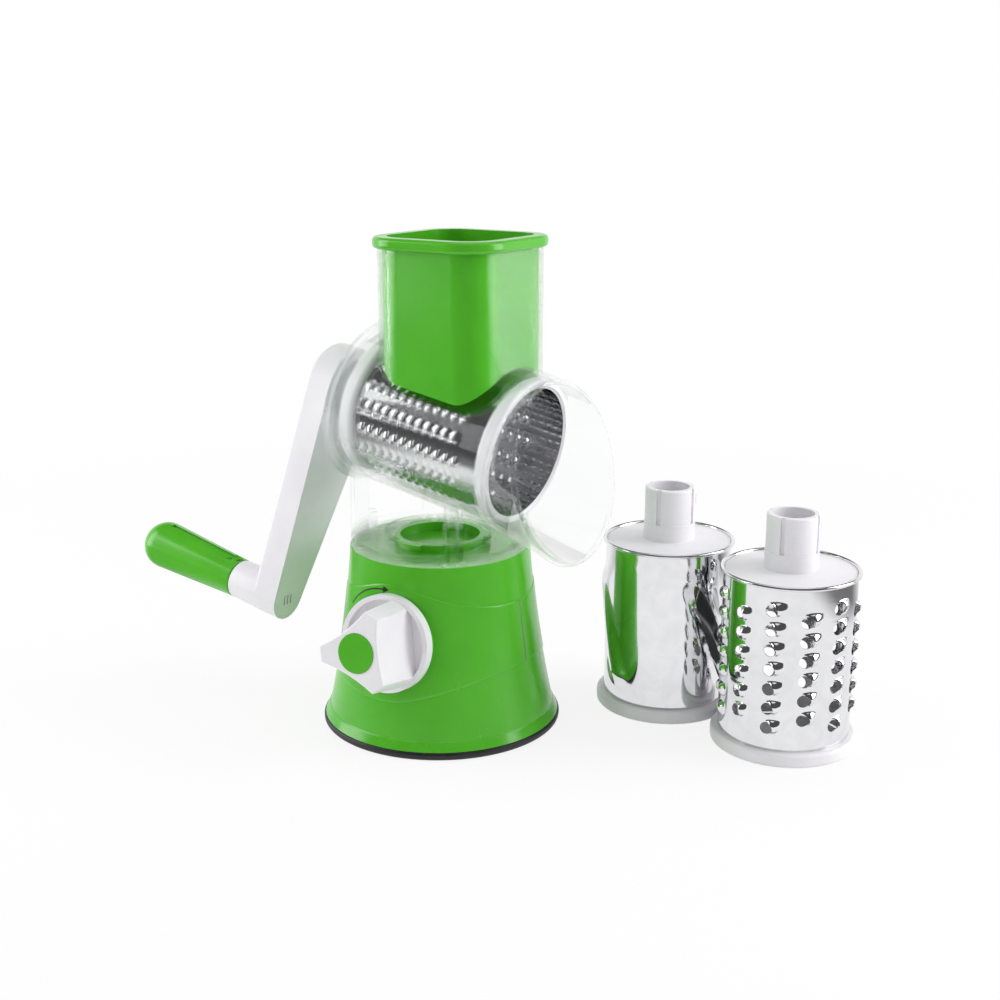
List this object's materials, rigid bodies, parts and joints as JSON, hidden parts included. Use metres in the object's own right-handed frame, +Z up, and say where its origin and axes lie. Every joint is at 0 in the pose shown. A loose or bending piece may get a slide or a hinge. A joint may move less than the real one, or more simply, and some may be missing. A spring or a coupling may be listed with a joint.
{
  "type": "rotary drum shredder",
  "caption": "Hand-cranked rotary drum shredder with a clear housing and feed chute on a suction base, with spare drums standing beside it.",
  "frame": {"origin": "middle of the suction pad's underside, on the counter", "axes": "+Z up, +X towards the side of the outlet along the drum axis as seen from above, knob on the -Y side"},
  "size_m": [0.3921, 0.2114, 0.2632],
  "materials": {
    "green_plastic": "glossy moulded lime green ABS",
    "white_plastic": "satin to glossy moulded white ABS",
    "clear_plastic": "water-clear moulded styrene-acrylic plastic with a faint green tint",
    "black_rubber": "smooth moulded black rubber",
    "inner_plastic": "plain natural acetal and ABS, not seen from outside",
    "screw_steel": "zinc-plated steel",
    "mirror_steel": "mirror-polished stainless sheet with punched and raised cutting teeth"
  },
  "bodies": {
    "base": {"base_shell": "green_plastic", "suction_pad": "black_rubber", "guide_plate": "inner_plastic", "plate_screws": "screw_steel", "clear_housing": "clear_plastic"},
    "crank": {"crank_arm": "white_plastic", "arm_cover": "white_plastic", "grip_bolt": "screw_steel", "fine_drum_sheet": "mirror_steel", "fine_drum_ring": "white_plastic", "fine_drum_hub": "white_plastic"},
    "grip": {"grip_sleeve": "green_plastic", "grip_cap": "green_plastic"},
    "knob": {"knob": "white_plastic", "knob_dot": "green_plastic", "knob_screw": "screw_steel", "cam_shaft": "inner_plastic"},
    "pull": {"pull_stud": "inner_plastic"},
    "pusher": {"pusher": "green_plastic"},
    "coarse_drum": {"coarse_drum_sheet": "mirror_steel", "coarse_drum_ring": "white_plastic", "coarse_drum_hub": "white_plastic"},
    "slicer_drum": {"slicer_drum_sheet": "mirror_steel", "slicer_drum_ring": "white_plastic", "slicer_drum_hub": "white_plastic"}
  },
  "joints": [
    {"name": "crank_turn", "type": "hinge", "parent": "base", "child": "crank", "pos_m": [0, 0, 0.1652], "axis": [0.9842, 0, -0.1771], "continuous": true},
    {"name": "grip_spin", "type": "hinge", "parent": "crank", "child": "grip", "pos_m": [-0.09344, -0.03812, 0.0649], "axis": [0.9842, 0, -0.1771], "continuous": true},
    {"name": "knob_lock", "type": "hinge", "parent": "base", "child": "knob", "pos_m": [0, 0, 0.0513], "axis": [-0.1035, 0.9848, -0.1392], "range_deg": [0, 90]},
    {"name": "pad_pull", "type": "slide", "parent": "base", "child": "pull", "axis": [0, 0, 1], "range_m": [0, 0.006], "deforming": ["suction_pad"]},
    {"name": "pusher_lift", "type": "slide", "parent": "base", "child": "pusher", "axis": [0, 0, 1], "range_m": [0, 0.085]},
    {"name": "coarse_drum_lift", "type": "slide", "parent": "base", "child": "coarse_drum", "axis": [0, 0, 1], "range_m": [0, 0.15]},
    {"name": "slicer_drum_lift", "type": "slide", "parent": "base", "child": "slicer_drum", "axis": [0, 0, 1], "range_m": [0, 0.15]}
  ],
  "couplings": [
    {"joint": "pad_pull", "follows": "knob_lock", "m_per_rad": 0.003819}
  ]
}
